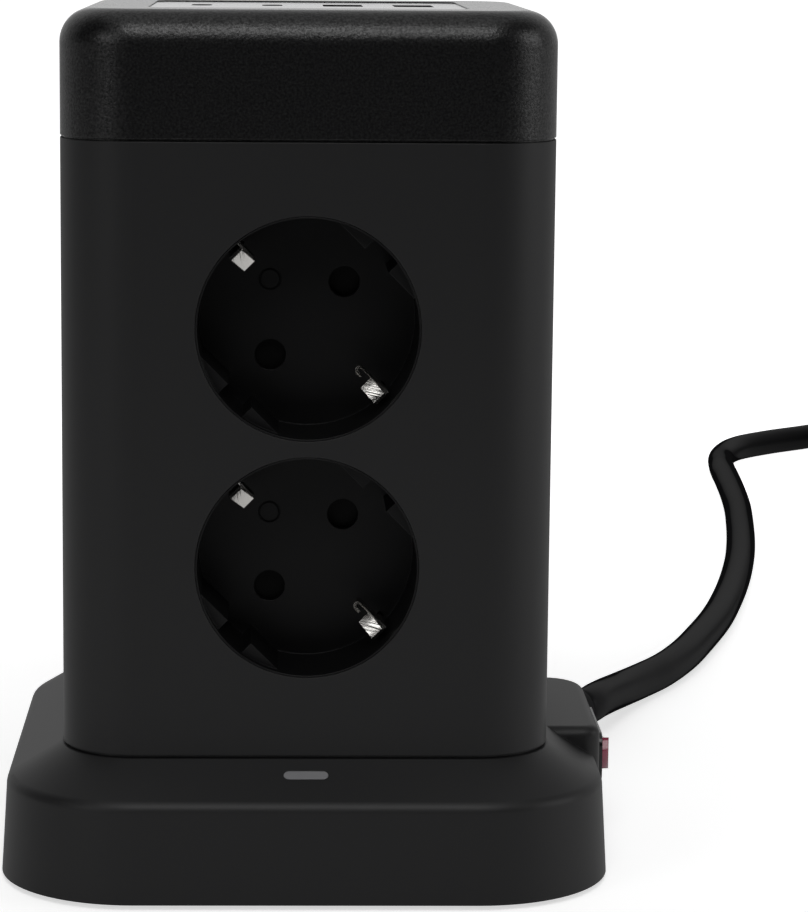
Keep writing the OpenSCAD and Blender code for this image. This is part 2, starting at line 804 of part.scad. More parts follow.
// Sleeves behind one hole of every socket, on a plate at each level, joined by an upright.
module pin_rail(s) {
    step = pin_at * sin(line_angle);
    for (i = [1:8])
        at_socket(i)
            translate([s * step, s * step, -cup_h - core_t - fit_gap - contact_l]) sleeve();
    for (level = [0, 1]) {
        z = base_h + socket_low + level * socket_pitch + s * step - contact_r;
        translate([-plate_w / 2, -plate_w / 2, z]) cube([plate_w, plate_w, rail_t]);
        translate([s * (plate_w / 2 + riser_w / 4) - riser_w / 2, s * (plate_w / 2 + riser_w / 4) - riser_w / 2, z])
            cube([riser_w, riser_w, rail_t]);
    }
    top = base_h + socket_low + socket_pitch + s * step - contact_r;
    translate([s * (plate_w / 2 + riser_w / 2) - riser_w / 2, s * (plate_w / 2 + riser_w / 2) - rail_t / 2, base_h])
        cube([riser_w, rail_t, top - base_h + rail_t]);
}

module live_rail() {
    color("#c8a050") pin_rail(1);
}

module neutral_rail() {
    color("#c8a050") pin_rail(-1);
}

module earth_rail() {
    color("#b8bcc0") {
        for (side = [0:3])
            rotate([0, 0, 90 * side])
                for (s = [-1, 1])
                    translate([s * rail_at - rail_w / 2, -core_w / 2, base_h])
                        cube([rail_w, rail_t, core_h + rail_t]);
        difference() {
            slab(core_w, core_w, core_t, base_h + core_h, rail_t);
            slab(core_w - 4 * core_t, core_w - 4 * core_t, core_t, base_h + core_h - over, rail_t + 2 * over);
        }
    }
}

// ---- cap and charging ports

module cap() {
    color("#1b1b1c")
        difference() {
            union() {
                translate([0, 0, tower_top + groove])
                    edge_sweep(tower_w, tower_w, tower_r, 0, cap_h - groove)
                        edge_profile(tower_r, cap_h - groove, cap_edge_r);
                slab(tower_w - 2 * groove, tower_w - 2 * groove, tower_r - groove, tower_top, groove + over);
            }
            difference() {
                slab(inner_w, inner_w, inner_r, tower_top - over, cap_h - cap_top_t + over);
                four_corners(board_hole[0], board_hole[1])
                    translate([0, 0, board_z() + board[2]]) cylinder(r = standoff_r, h = cap_h);
            }
            slab(panel_w, panel_d, panel_r, total_h - panel_t - panel_sink, panel_t + panel_sink + over);
            slab(panel_w - 2 * panel_ledge, panel_d - 2 * panel_ledge, panel_r - panel_ledge / 2,
                 total_h - cap_top_t - over, cap_top_t + 2 * over);
        }
}

function board_z() = total_h - panel_sink - port_top_gap - port_l - board[2];

module usb_panel() {
    color("#1a1a1b")
        difference() {
            slab(panel_w - 2 * fit_gap, panel_d - 2 * fit_gap, panel_r - fit_gap,
                 total_h - panel_t - panel_sink, panel_t);
            for (k = [0:3])
                port_place(k) translate([0, 0, -panel_t - over]) linear_extrude(panel_t + 2 * over) port_outline(k, 0);
        }
}

module port_place(k) {
    translate([port_x[k] * port_pitch, 0, total_h - panel_sink]) children();
}

function port_size(k) = k < 2 ? port_c : port_a;

module port_outline(k, inset) {
    size = port_size(k);
    r = k < 2 ? 0.49 * (size[0] - 2 * inset) : 0.06 * size[0];
    rounded_rect(size[0] - 2 * inset, size[1] - 2 * inset, r);
}

module usb_port(k) {
    tongue = k < 2 ? tongue_c : tongue_a;
    color("#b4b6b9")
        port_place(k)
            translate([0, 0, -port_top_gap - port_l]) {
                difference() {
                    linear_extrude(port_l) port_outline(k, port_gap);
                    translate([0, 0, port_l * 0.15]) linear_extrude(port_l) port_outline(k, port_gap + port_wall);
                }
                translate([-tongue[0] / 2, -tongue[1] / 2, 0]) cube([tongue[0], tongue[1], port_l * 0.85]);
            }
}

module usb_board() {
    color("#1f5a34")
        difference() {
            translate([-board[0] / 2, -board[1] / 2, board_z()]) cube(board);
            four_corners(board_hole[0], board_hole[1])
                translate([0, 0, board_z() - over]) cylinder(r = screw_r, h = board[2] + 2 * over);
        }
}

// ---- surge parts

module surge_pegs() {
    for (x = [-1, 1], y = [-1, 1])
        translate([surge_at[0] + x * surge[0] * 0.42, surge_at[1] + y * surge[1] * 0.4, 0]) children();
}

module surge_board() {
    color("#2d6b3f")
        translate([surge_at[0] - surge[0] / 2, surge_at[1] - surge[1] / 2, plate_top + peg_h]) cube(surge);
}

module varistors() {
    color("#2456a8")
        for (k = [-1:1])
            translate([surge_at[0] + k * varistor_t * 2.2, surge_at[1], plate_top + peg_h + surge[2] + varistor_r])
                rotate([0, 90, 0])
                    intersection() {
                        cylinder(r = varistor_r, h = varistor_t, center = true);
                        translate([-varistor_r * 0.6, -varistor_r, -varistor_t])
                            cube([varistor_r * 1.6, 2 * varistor_r, 2 * varistor_t]);
                    }
}

// ---- lead

// Children are drawn at the hole where the lead leaves the base, with z along the lead.
module at_exit() {
    translate(exit_wall) rotate([0, 90, exit_angle]) children();
}

module cord_boot() {
    color("#1a1a1a")
        at_exit()
            difference() {
                union() {
                    translate([0, 0, -shell_t - boot_flange_in - boot_flange_t]) cylinder(r = boot_r, h = boot_flange_t);
                    translate([0, 0, -shell_t - boot_flange_in - boot_flange_t / 2])
                        cylinder(r = boot_r - boot_wall - fit_gap, h = 2 * shell_t + boot_flange_in + boot_flange_t / 2);
                    translate([0, 0, fit_gap * 4])
                        cylinder(r1 = boot_r, r2 = boot_end_r, h = boot_l - fit_gap * 4);
                }
                for (k = [0:boot_ribs - 1])
                    translate([0, 0, boot_l * (0.3 + 0.16 * k)])
                        difference() {
                            cylinder(r = boot_r + over, h = boot_l * 0.06);
                            translate([0, 0, -over]) cylinder(r = boot_end_r - rib_deep, h = boot_l);
                        }
            }
}

function clamp_z() = exit_z + cord_d / 2;
module clamp_pegs() {
    p = exit_wall - (shell_t + boot_flange_in + boot_flange_t + lead_in / 2) * exit_dir;
    for (s = [-1, 1])
        translate([p[0], p[1], 0]) rotate([0, 0, exit_angle]) translate([0, s * clamp[1] * 0.36, 0]) children();
}

module inner_lead() {
    color("#111111")
        at_exit()
            translate([0, 0, -shell_t - boot_flange_in - boot_flange_t - lead_in]) cylinder(r = cord_d / 2, h = lead_in);
}

module cord_clamp() {
    p = exit_wall - (shell_t + boot_flange_in + boot_flange_t + lead_in / 2) * exit_dir;
    color("#d8d5cc")
        translate([p[0], p[1], clamp_z()])
            rotate([0, 0, exit_angle])
                translate([-clamp[0] / 2, -clamp[1] / 2, 0]) cube(clamp);
}

module cord_run() {
    color("#141414")
        tube(concat([boot_end, boot_end + cord_d * exit_dir / 2], run_route,
                    [coil_points[0] - cord_d * coil_in_dir / 2, coil_points[0]]),
             cord_d / 2, sides_run);
}

module cord_coil() {
    color("#141414") tube(coil_points, cord_d / 2, sides_coil);
}

module cord_tail() {
    color("#141414")
        tube(concat([coil_points[len(coil_points) - 1]], tail_route, [plug_base]), cord_d / 2, sides_run);
}

// A flat strap round the coil's turns.
module coil_tie() {
    r0 = coil_inner - cord_d / 2 - tie_gap;
    tie_turn = (coil_start - tie_angle) / 360 + 1;
    r1 = coil_radius(tie_turn) + cord_d / 2 + tie_gap;
    h = coil_pitch + cord_d + 2 * tie_gap;
    low = coil_z - cord_d / 2 - tie_gap;
    color("#1f1f1f")
        translate([coil_centre[0], coil_centre[1], low])
            rotate([90, 0, tie_angle])
                translate([(r0 + r1) / 2, h / 2, -tie_w / 2])
                    linear_extrude(tie_w)
                        difference() {
                            rounded_rect(r1 - r0 + 2 * tie_t, h + 2 * tie_t, 2 * tie_t);
                            rounded_rect(r1 - r0, h, tie_t);
                        }
}

// Children are drawn on the plug's axis, with z pointing to its pins.
module at_plug() {
    translate(plug_base) rotate([0, 90, plug_angle]) children();
}

module plug_body() {
    neck_l = plug_neck[2];
    color("#161616")
        at_plug() {
            cylinder(r1 = plug_neck[1], r2 = plug_neck[0], h = neck_l);
            translate([0, 0, neck_l])
                cylinder(r1 = plug_neck[0] + plug_neck[1], r2 = plug_r, h = plug_nose_l);
            difference() {
                translate([0, 0, neck_l + plug_nose_l - over / 2]) cylinder(r = plug_r, h = plug_l + over / 2);
                for (s = [0, 180])
                    rotate([0, 0, 90 + s]) {
                        translate([plug_r - sheet_t * 3, -plug_earth_w / 2, neck_l + plug_nose_l + plug_l * 0.35])
                            cube([plug_r, plug_earth_w, plug_l]);
                    }
                for (s = [0, 180])
                    rotate([0, 0, s])
                        translate([plug_r - plug_key, -guide_slot / 2 + seat_gap, neck_l + plug_nose_l + plug_l * 0.35])
                            cube([plug_r, guide_slot - 2 * seat_gap, plug_l]);
            }
        }
}

module plug_pins() {
    top = plug_neck[2] + plug_nose_l + plug_l;
    color("#c9cbce")
        at_plug()
            for (s = [-1, 1]) {
                translate([s * pin_at, 0, top]) cylinder(r = plug_pin_r, h = plug_pin_l - plug_pin_r);
                translate([s * pin_at, 0, top + plug_pin_l - plug_pin_r]) sphere(r = plug_pin_r);
            }
}

// ---- parts

base_shell();
base_plate();
grip_pad();
base_screws();
led_window();
led_board();
switch_bezel();
switch_body();
switch_tabs();
rocker();
body_shell();
tower_screws();
core_frame();
cap();
usb_panel();
usb_board();
for (k = [0:3]) usb_port(k);
for (i = [1:8]) socket_cup(i);
for (i = [1:8]) earth_clip(i);
for (i = [1:8]) shutter(i);
live_rail();
neutral_rail();
earth_rail();
surge_board();
varistors();
cord_boot();
inner_lead();
cord_clamp();
cord_run();
cord_coil();
cord_tail();
coil_tie();
plug_body();
plug_pins();
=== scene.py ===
"""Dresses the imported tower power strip: finishes for every node, the round lead, the stage and the camera."""

import math

import bpy
import numpy as np
from bpy.props import FloatProperty, FloatVectorProperty, IntProperty, PointerProperty
from bpy.types import Operator, Panel, PropertyGroup
from mathutils import Matrix, Vector


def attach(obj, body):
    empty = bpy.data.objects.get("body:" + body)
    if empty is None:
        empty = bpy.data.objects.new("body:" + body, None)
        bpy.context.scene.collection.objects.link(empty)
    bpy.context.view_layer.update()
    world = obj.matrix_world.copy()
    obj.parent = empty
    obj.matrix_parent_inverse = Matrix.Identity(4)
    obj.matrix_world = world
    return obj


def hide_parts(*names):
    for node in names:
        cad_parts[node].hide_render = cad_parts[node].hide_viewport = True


bl_info = {
    "name": "Tower power strip",
    "version": (1, 0, 0),
    "blender": (4, 5, 0),
    "location": "View3D > Sidebar > Tower strip",
    "description": "Finishes, lead and stage of a tower power strip",
    "category": "Object",
}

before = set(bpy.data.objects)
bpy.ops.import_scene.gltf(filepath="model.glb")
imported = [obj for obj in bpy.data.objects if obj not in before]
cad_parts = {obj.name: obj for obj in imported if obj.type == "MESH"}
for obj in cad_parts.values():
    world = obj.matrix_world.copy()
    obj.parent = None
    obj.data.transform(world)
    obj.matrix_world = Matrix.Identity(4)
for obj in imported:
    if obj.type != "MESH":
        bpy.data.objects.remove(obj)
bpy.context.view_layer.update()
MM = 0.001

# The lead's route in metres: from the boot to the coil, and from the coil to the plug.
EXIT_ANGLE = math.radians(50)
WALL_CORNER = 0.031
WALL_RADIUS = 0.024601
EXIT_HEIGHT = 0.0075
BOOT_LENGTH = 0.020
RUN_ROUTE = [
    (0.0640, 0.0722, 0.0074), (0.0668, 0.0796, 0.0067), (0.0714, 0.0916, 0.0053), (0.0774, 0.1040, 0.0044),
    (0.0836, 0.1154, 0.0041), (0.0900, 0.1296, 0.0041), (0.0976, 0.1514, 0.0041), (0.1048, 0.1750, 0.0041),
    (0.1110, 0.2000, 0.0041), (0.1166, 0.2260, 0.0041), (0.1214, 0.2520, 0.0041), (0.1254, 0.2780, 0.0041),
    (0.1288, 0.3040, 0.0041), (0.1318, 0.3300, 0.0041), (0.1340, 0.3560, 0.0041), (0.1356, 0.3800, 0.0041),
    (0.1370, 0.4020, 0.0041), (0.1398, 0.4220, 0.0041), (0.1470, 0.4396, 0.0041), (0.1590, 0.4526, 0.0041),
    (0.1734, 0.4644, 0.0041), (0.1876, 0.4760, 0.0043), (0.1976, 0.4832, 0.0046),
]
ROUTE_STEP = 0.002
TAIL_ROUTE = [
    (0.240, 0.3795, 0.0137), (0.228, 0.371, 0.0146), (0.219, 0.3595, 0.0162), (0.214, 0.346, 0.0178),
]
PLUG_END = (0.211, 0.334, 0.0193)
COIL_CENTRE = (0.240, 0.440)
COIL_TURNS = 5.5
COIL_START = 110
COIL_PITCH = 0.0086
COIL_INNER = 0.0328
COIL_HEIGHT = 0.0049

# The camera found from the photograph, in metres, radians and pixels.
CAMERA_PLACE = (-0.00613, -0.61118, 0.17324)
CAMERA_YAW = 0.0204
CAMERA_PITCH = 0.1571
CAMERA_ROLL = 0.0070
PHOTO_SIZE = (808, 912)
FOCAL_PX = 3227.0
AXIS_PX = (338.17, 439.02)
SENSOR_MM = 36.0

# The sockets' heights, the circle within which their contacts' blades roll, and the relief of those
# blades, in mm.
SOCKET_HEIGHTS = (60, 103)
BLADE_CIRCLE = 19.5
BLADE_ROLL = 0.09
DRAWN_LINE = 0.8
DRAWN_DEPTH = 0.12

# The rocker's rim: the least x of an outward normal, the share of the depth beyond which such faces
# count, and the distance and the angle within which vertices and faces are merged.
RIM_FACING = 0.9
RIM_SHARE = 0.6
JOIN_REACH = 0.002 * MM
FLAT_ANGLE = math.radians(3)

# The stage, in metres: the floor's edges, how far from the strip its own glow rises from its near to its far
# strength, the share of that glow and the strength of the backdrop that mirrors show.
FLOOR_SIDE = 30.0
FLOOR_FRONT = -0.45
FLOOR_BACK = 60.0
GLOW_REACH = (0.08, 0.5)
GLOW = (0.62, 1.0)
MIRRORED_GLOW = 0.18
BACKDROP_DEPTH = 0.95
BACKDROP = 0.63

# The lights: name, place, side length and the setting that holds the power. All face one point of the tower.
LIGHT_AIM = (0.0, 0.0, 0.08)
LIGHTS = (
    ("softbox_above", (0.0, -0.15, 1.4), 1.2, "overhead"),
    ("softbox_front", (0.0, -1.1, 1.3), 0.8, "front"),
    ("softbox_right", (1.5, -0.3, 0.6), 0.9, "side"),
    ("lamp_left", (-0.66, -0.74, 0.42), 0.35, "glint"),
)


# ---- colours, nodes and meshes

def linear(code):
    """RGBA in linear light of an sRGB hex colour: c/12.92 up to 0.04045, else ((c + 0.055)/1.055)^2.4."""
    values = [int(code[i:i + 2], 16) / 255 for i in (1, 3, 5)]
    return tuple(c / 12.92 if c <= 0.04045 else ((c + 0.055) / 1.055) ** 2.4 for c in values) + (1.0,)


def add_node(tree, kind, sockets=None, **settings):
    """Adds a node: settings are its attributes, sockets its input values, or outputs to link from."""
    made = tree.nodes.new(kind)
    for key, value in settings.items():
        setattr(made, key, value)
    for key, value in (sockets or {}).items():
        if isinstance(value, bpy.types.NodeSocket):
            tree.links.new(value, made.inputs[key])
        else:
            made.inputs[key].default_value = value
    return made


def plain_material(name, colour, roughness, ior=1.5, **sockets):
    """A material of one Principled shader; returns the material, its tree and the shader."""
    material = bpy.data.materials.new(name)
    material.use_nodes = True
    tree = material.node_tree
    shader = tree.nodes["Principled BSDF"]
    values = {"Base Color": colour, "Roughness": roughness, "IOR": ior}
    values.update({key.replace("_", " "): value for key, value in sockets.items()})
    for key, value in values.items():
        shader.inputs[key].default_value = value
    material.diffuse_color = colour
    return material, tree, shader


def dress(names, material):
    """Gives CAD nodes a material, their meshes left as they are."""
    for name in names:
        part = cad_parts[name]
        if not part.material_slots:
            part.data.materials.append(material)
        for place in part.material_slots:
            place.material = material


def soft_edge(tree, shader, radius):
    """Rounds the shading of sharp edges over a radius in metres, as a mould's worn edge does."""
    bevel = add_node(tree, "ShaderNodeBevel", {"Radius": radius}, samples=4)
    tree.links.new(bevel.outputs["Normal"], shader.inputs["Normal"])


def by_facing(tree, socket, span, facing, grazing, curve="SMOOTHSTEP"):
    """Sets a socket by how nearly edge on the surface is seen: facing below span[0] of the facing
    weight, grazing above span[1], and the curve's step between them."""
    weight = add_node(tree, "ShaderNodeLayerWeight", {"Blend": 0.5})
    step = add_node(tree, "ShaderNodeMapRange", {"Value": weight.outputs["Facing"], "From Min": span[0],
                                                 "From Max": span[1], "To Min": facing, "To Max": grazing},
                    interpolation_type=curve)
    tree.links.new(step.outputs["Result"], socket)


def grazing_shine(tree, shader, facing, grazing):
    """Lets the roughness fall from facing to grazing, as a grained moulding shines edge on."""
    by_facing(tree, shader.inputs["Roughness"], (0.75, 1.0), facing, grazing)


def grain(tree, shader, width, depth, strength, edge=0.0):
    """Bumps the surface with noise whose grains have a width and a depth in metres, over edges that
    are rounded by edge metres; returns the noise."""
    place = add_node(tree, "ShaderNodeTexCoord")
    noise = add_node(tree, "ShaderNodeTexNoise",
                     {"Vector": place.outputs["Object"], "Scale": 1.0 / width, "Detail": 3.0,
                      "Roughness": 0.6})
    sockets = {"Height": noise.outputs["Fac"], "Strength": strength, "Distance": depth}
    if edge:
        bevel = add_node(tree, "ShaderNodeBevel", {"Radius": edge}, samples=4)
        sockets["Normal"] = bevel.outputs["Normal"]
    bump = add_node(tree, "ShaderNodeBump", sockets)
    tree.links.new(bump.outputs["Normal"], shader.inputs["Normal"])
    return noise


def round_rim(part, radius):
    """Rounds the rim of the outer face along +x: its corners are those of the polygons whose normal has
    x > RIM_FACING and whose centre lies beyond RIM_SHARE of the depth. Its vertices are joined and its
    flat triangles merged before the rim is cut."""
    mesh = part.data
    count = len(mesh.polygons)
    normals = np.empty(3 * count, dtype=np.float32)
    mesh.polygons.foreach_get("normal", normals)
    centres = np.empty(3 * count, dtype=np.float32)
    mesh.polygons.foreach_get("center", centres)
    sizes = np.empty(count, dtype=np.int32)
    mesh.polygons.foreach_get("loop_total", sizes)
    corners = np.empty(len(mesh.loops), dtype=np.int32)
    mesh.loops.foreach_get("vertex_index", corners)
    depths = centres[::3]
    shares = (depths - depths.min()) / (depths.max() - depths.min())
    outward = (normals[::3] > RIM_FACING) & (shares > RIM_SHARE)
    rim = part.vertex_groups.new(name="rim")
    rim.add(np.unique(corners[np.repeat(outward, sizes)]).tolist(), 1.0, "REPLACE")
    part.modifiers.new("joined", "WELD").merge_threshold = JOIN_REACH
    merged = part.modifiers.new("merged", "DECIMATE")
    merged.decimate_type = "DISSOLVE"
    merged.angle_limit = FLAT_ANGLE
    cut = part.modifiers.new("rounded", "BEVEL")
    cut.limit_method = "VGROUP"
    cut.vertex_group = rim.name
    cut.width = radius
    cut.segments = 4
    cut.use_clamp_overlap = False


def calculate(tree, operation, *values):
    """A math node of the given operation; returns its output."""
    return add_node(tree, "ShaderNodeMath", dict(enumerate(values)), operation=operation).outputs[0]


def blade_relief(tree, shader, edge):
    """Bumps the contacts as bent and drawn strip. With t the smaller of |x| and |y|, r the distance
    of (t, z) from the nearer socket's axis and d = max(BLADE_CIRCLE - r, 0), all in mm, the tip rolls
    towards the mouth by BLADE_ROLL d^2, and drawing lines run along x + y + z = constant."""
    place = add_node(tree, "ShaderNodeTexCoord")
    split = add_node(tree, "ShaderNodeSeparateXYZ", {"Vector": place.outputs["Object"]})
    x, y, z = (split.outputs[axis] for axis in "XYZ")
    across = calculate(tree, "MINIMUM", calculate(tree, "ABSOLUTE", x), calculate(tree, "ABSOLUTE", y))
    low, high = (calculate(tree, "ABSOLUTE", calculate(tree, "SUBTRACT", z, height * MM))
                 for height in SOCKET_HEIGHTS)
    rise = calculate(tree, "MINIMUM", low, high)
    away = calculate(tree, "SQRT", calculate(tree, "ADD", calculate(tree, "MULTIPLY", across, across),
                                             calculate(tree, "MULTIPLY", rise, rise)))
    inward = calculate(tree, "MAXIMUM", calculate(tree, "SUBTRACT", BLADE_CIRCLE * MM, away), 0.0)
    roll = calculate(tree, "MULTIPLY", calculate(tree, "MULTIPLY", inward, inward), BLADE_ROLL / MM)
    total = calculate(tree, "ADD", calculate(tree, "ADD", x, y), z)
    line = calculate(tree, "MULTIPLY", total, 1 / (DRAWN_LINE * MM))
    noise = add_node(tree, "ShaderNodeTexNoise", {"W": line, "Scale": 1.0, "Detail": 2.0},
                     noise_dimensions="1D")
    height = calculate(tree, "MULTIPLY_ADD", noise.outputs["Fac"], DRAWN_DEPTH * MM, roll)
    bevel = add_node(tree, "ShaderNodeBevel", {"Radius": edge}, samples=4)
    bump = add_node(tree, "ShaderNodeBump", {"Height": height, "Strength": 1.0, "Distance": 1.0,
                                             "Normal": bevel.outputs["Normal"]})
    tree.links.new(bump.outputs["Normal"], shader.inputs["Normal"])


def mesh_piece(name, points, faces, material, smooth=True):
    """A mesh object at the origin from arrays of points and faces."""
    mesh = bpy.data.meshes.new(name)
    mesh.from_pydata(points.tolist(), [], faces)
    mesh.materials.append(material)
    mesh.polygons.foreach_set("use_smooth", np.full(len(mesh.polygons), smooth))
    mesh.update()
    piece = bpy.data.objects.new(name, mesh)
    bpy.context.scene.collection.objects.link(piece)
    return piece


def spline(points, spacing):
    """A smooth line through points: cubic Hermite pieces whose slope at each point is that of the
    parabola through it and its neighbours, read off every `spacing` metres."""
    p = np.asarray(points, dtype=float)
    steps = np.linalg.norm(np.diff(p, axis=0), axis=1)
    t = np.concatenate([[0.0], np.cumsum(steps)])
    slope = np.gradient(p, t, axis=0, edge_order=2)
    s = np.linspace(0.0, t[-1], int(math.ceil(t[-1] / spacing)) + 1)
    i = np.clip(np.searchsorted(t, s, side="right") - 1, 0, len(p) - 2)
    h = (t[i + 1] - t[i])[:, None]
    u = ((s - t[i]) / (t[i + 1] - t[i]))[:, None]
    return ((2 * u ** 3 - 3 * u ** 2 + 1) * p[i] + (u ** 3 - 2 * u ** 2 + u) * h * slope[i]
            + (3 * u ** 2 - 2 * u ** 3) * p[i + 1] + (u ** 3 - u ** 2) * h * slope[i + 1])


def tube(path, radius, sides):
    """A round tube: point (i, k) is path[i] + radius (cos a side + sin a up), with a = 2 pi k / sides,
    side square to the path and level, and up square to both. Its ends are closed by flat discs."""
    along = np.gradient(path, axis=0)
    along /= np.linalg.norm(along, axis=1)[:, None]
    side = np.cross(along, [0.0, 0.0, 1.0])
    side /= np.linalg.norm(side, axis=1)[:, None]
    up = np.cross(side, along)
    a = 2 * math.pi * np.arange(sides) / sides
    ring = np.cos(a)[None, :, None] * side[:, None, :] + np.sin(a)[None, :, None] * up[:, None, :]
    points = (path[:, None, :] + radius * ring).reshape(-1, 3)
    i, k = np.meshgrid(np.arange(len(path) - 1), np.arange(sides), indexing="ij")
    a0, b0 = i * sides + k, i * sides + (k + 1) % sides
    quads = np.stack([a0, b0, b0 + sides, a0 + sides], axis=-1).reshape(-1, 4)
    last = (len(path) - 1) * sides
    faces = quads.tolist() + [list(range(sides))[::-1], list(range(last, last + sides))]
    return points, faces


def coil_line(per_turn=48):
    """The coil's centreline: at turn t the angle is start - 360 t degrees, the radius is the inner one
    plus a pitch for each turn from the middle, and the height rises a pitch by a smooth step there."""
    t = np.linspace(0.0, COIL_TURNS, int(per_turn * COIL_TURNS) + 1)
    middle = COIL_TURNS / 2
    angle = np.radians(COIL_START - 360 * t)
    radius = COIL_INNER + COIL_PITCH * np.abs(t - middle)
    climb = np.clip((t - middle) * 2 + 0.5, 0.0, 1.0)
    height = COIL_HEIGHT + COIL_PITCH * climb ** 2 * (3 - 2 * climb)
    x = COIL_CENTRE[0] + radius * np.cos(angle)
    y = COIL_CENTRE[1] + radius * np.sin(angle)
    return np.stack([x, y, height], axis=1)


def lead_line(diameter):
    """The whole lead's centreline, from the boot's end through the coil to the plug."""
    out = np.array([math.cos(EXIT_ANGLE), math.sin(EXIT_ANGLE), 0.0])
    wall = np.array([WALL_CORNER, WALL_CORNER, EXIT_HEIGHT]) + WALL_RADIUS * out
    start = wall + BOOT_LENGTH * out
    coil = coil_line()
    into, leave = coil[1] - coil[0], coil[-1] - coil[-2]
    before = coil[0] - diameter * into / np.linalg.norm(into)
    after = coil[-1] + diameter * leave / np.linalg.norm(leave)
    halfway = (before + coil[0]) / 2
    approach = 1.5 * before - 0.5 * coil[0]
    first = spline([start, start + diameter / 2 * out, *RUN_ROUTE, approach, before, halfway], ROUTE_STEP)
    last = spline([(after + coil[-1]) / 2, after, *TAIL_ROUTE, PLUG_END], ROUTE_STEP)
    return start, np.concatenate([first, coil, last])


# ---- settings

class StripFinish(PropertyGroup):
    """Colours and roughness of the strip's mouldings."""
    shell_colour: FloatVectorProperty(
        name="Shell", description="Smooth black shells of the tower and the base", subtype="COLOR", size=4,
        min=0.0, max=1.0, default=linear("#161617"))
    cap_colour: FloatVectorProperty(
        name="Cap", description="Spark-eroded black cap", subtype="COLOR", size=4,
        min=0.0, max=1.0, default=linear("#0c0c0d"))
    # The inserts' own black, darkened further as painted shade of the deep socket recesses they line.
    socket_colour_and_shade: FloatVectorProperty(
        name="Sockets", description="Black socket inserts", subtype="COLOR", size=4,
        min=0.0, max=1.0, default=linear("#060607"))
    rocker_colour: FloatVectorProperty(
        name="Rocker", description="Polished red rocker", subtype="COLOR", size=4,
        min=0.0, max=1.0, default=linear("#900a3c"))
    shell_roughness: FloatProperty(
        name="Shell roughness", description="0 is a mirror, 1 is chalk", default=0.5, min=0.0, max=1.0)
    grain_size: FloatProperty(
        name="Cap grain", description="Width of the cap's grains", default=0.00045, min=0.0002, max=0.002,
        unit="LENGTH", precision=5)


class StripLead(PropertyGroup):
    """Size of the lead."""
    diameter: FloatProperty(
        name="Diameter", description="Diameter of the lead", default=0.008, min=0.006, max=0.009,
        unit="LENGTH", precision=4)
    sides: IntProperty(name="Sides", description="Facets round the lead", default=24, min=8, max=48)


class StripStage(PropertyGroup):
    """Light and floor."""
    floor_colour: FloatVectorProperty(
        name="Floor", description="Pale floor", subtype="COLOR", size=4,
        min=0.0, max=1.0, default=linear("#e8e8e8"))
    overhead: FloatProperty(
        name="Overhead light", description="Power of the softbox above", default=2.5,
        min=0.0, max=100.0, unit="POWER")
    side: FloatProperty(
        name="Side light", description="Power of the softbox on the right", default=4.8,
        min=0.0, max=100.0, unit="POWER")
    front: FloatProperty(
        name="Front light", description="Power of the softbox above and in front", default=7.6,
        min=0.0, max=100.0, unit="POWER")
    glint: FloatProperty(
        name="Glint light", description="Power of the small lamp that shines in the contacts", default=1.0,
        min=0.0, max=100.0, unit="POWER")


# ---- the camera and the lead

class STRIP_OT_camera(Operator):
    """Place the camera where the photograph was taken"""
    bl_idname = "strip.camera"
    bl_label = "Camera"

    def execute(self, context):
        data = bpy.data.cameras.new("photo_camera")
        camera = bpy.data.objects.new("photo_camera", data)
        context.scene.collection.objects.link(camera)
        context.scene.camera = camera
        forward = Vector((math.sin(CAMERA_YAW) * math.cos(CAMERA_PITCH),
                          math.cos(CAMERA_YAW) * math.cos(CAMERA_PITCH), -math.sin(CAMERA_PITCH)))
        right = Vector((math.cos(CAMERA_YAW), -math.sin(CAMERA_YAW), 0.0))
        up = right.cross(forward)
        c, s = math.cos(CAMERA_ROLL), math.sin(CAMERA_ROLL)
        right, up = right * c + up * s, up * c - right * s
        turn = Matrix((right, up, -forward)).transposed().to_4x4()
        camera.matrix_world = Matrix.Translation(CAMERA_PLACE) @ turn
        long_side = max(PHOTO_SIZE)
        data.sensor_width = SENSOR_MM
        data.lens = FOCAL_PX * SENSOR_MM / long_side
        data.shift_x = (PHOTO_SIZE[0] / 2 - AXIS_PX[0]) / long_side
        data.shift_y = (AXIS_PX[1] - PHOTO_SIZE[1] / 2) / long_side
        data.clip_end = 100.0
        return {"FINISHED"}


class STRIP_OT_lead(Operator):
    """Make the round lead along its route and dress what is on it"""
    bl_idname = "strip.lead"
    bl_label = "Lead"

    def execute(self, context):
        size = context.scene.strip_lead
        # Soft PVC sheath, extruded: a dull black with a soft shine that fades where it is seen edge on.
        sheath, tree, shader = plain_material("extruded_pvc_sheath", linear("#1b1b1c"), 0.42, 1.5)
        grain(tree, shader, width=1.2 * MM, depth=0.02 * MM, strength=0.25)
        by_facing(tree, shader.inputs["Specular IOR Level"], (0.3, 0.86), 0.1, 0.0, "LINEAR")
        start, path = lead_line(size.diameter)
        points, faces = tube(path, size.diameter / 2, size.sides)
        lead = mesh_piece("lead", points, faces, sheath)
        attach(lead, "strip")
        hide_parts("cord_run", "cord_coil", "cord_tail")
        dress(["inner_lead", "cord_boot"], sheath)
        # Moulded soft PVC of the plug, a touch duller than the sheath.
        moulded, tree, shader = plain_material("moulded_soft_pvc", linear("#151516"), 0.5, 1.53)
        grain(tree, shader, width=0.8 * MM, depth=0.03 * MM, strength=0.3, edge=0.3 * MM)
        dress(["plug_body"], moulded)
        # Woven strap: matt and slightly fuzzy.
        strap, tree, shader = plain_material("woven_nylon_strap", linear("#1a1a1a"), 0.85, 1.53,
                                             Sheen_Weight=0.3)
        grain(tree, shader, width=1.0 * MM, depth=0.1 * MM, strength=0.6)
        dress(["coil_tie"], strap)
        return {"FINISHED"}


# ---- finishes of the CAD nodes

